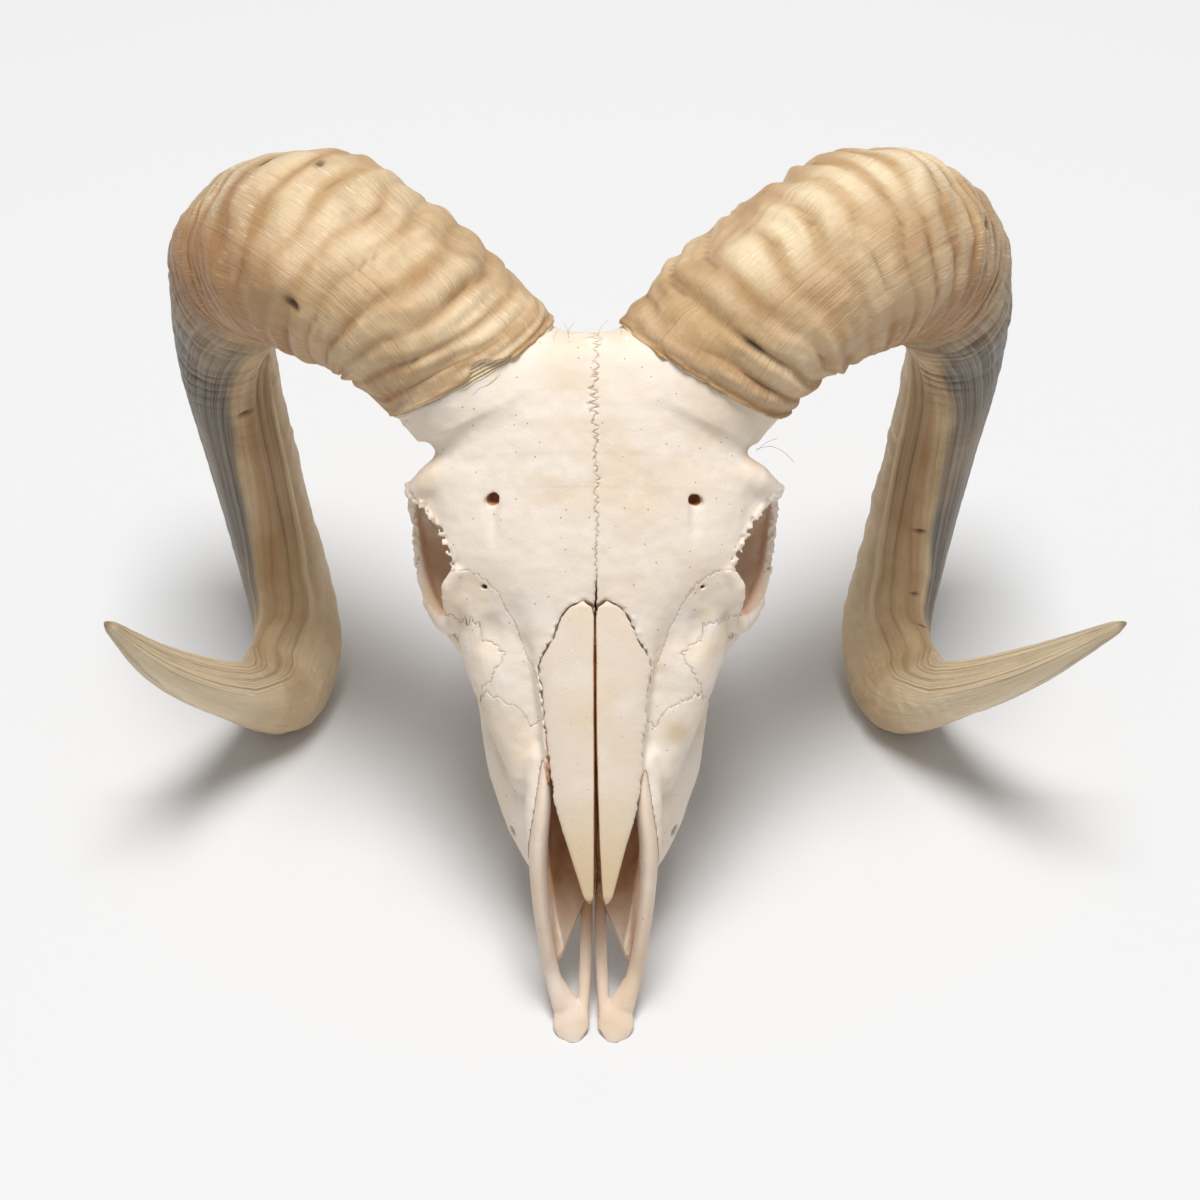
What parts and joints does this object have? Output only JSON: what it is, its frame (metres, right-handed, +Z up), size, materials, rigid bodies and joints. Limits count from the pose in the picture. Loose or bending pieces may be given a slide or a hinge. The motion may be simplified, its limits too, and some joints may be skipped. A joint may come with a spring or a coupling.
{
  "type": "ram skull",
  "caption": "Life-size ram skull with ridged, curling horns, without lower jaw, resting on its muzzle tips and horn curls as a still display piece.",
  "frame": {"origin": "on the floor, under the middle of the whole object's box", "axes": "+X to the animal's left along the spread of the horns, -Y the way the muzzle points, +Z up from the floor"},
  "size_m": [0.3651, 0.2508, 0.2521],
  "materials": {
    "bone": "matt, dry, finely pored ivory bone",
    "nasal_bone": "smooth, faintly waxy, yellower bone",
    "horn": "satin keratin with cross ridges and long fibres"
  },
  "bodies": {
    "root": {"braincase": "bone", "frontal_left": "bone", "frontal_right": "bone", "lacrimal_left": "bone", "lacrimal_right": "bone", "zygomatic_left": "bone", "zygomatic_right": "bone", "maxilla_left": "bone", "maxilla_right": "bone", "nasal_left": "nasal_bone", "nasal_right": "nasal_bone", "premaxilla_left": "bone", "premaxilla_right": "bone", "horn_left": "horn", "horn_right": "horn"}
  },
  "joints": []
}
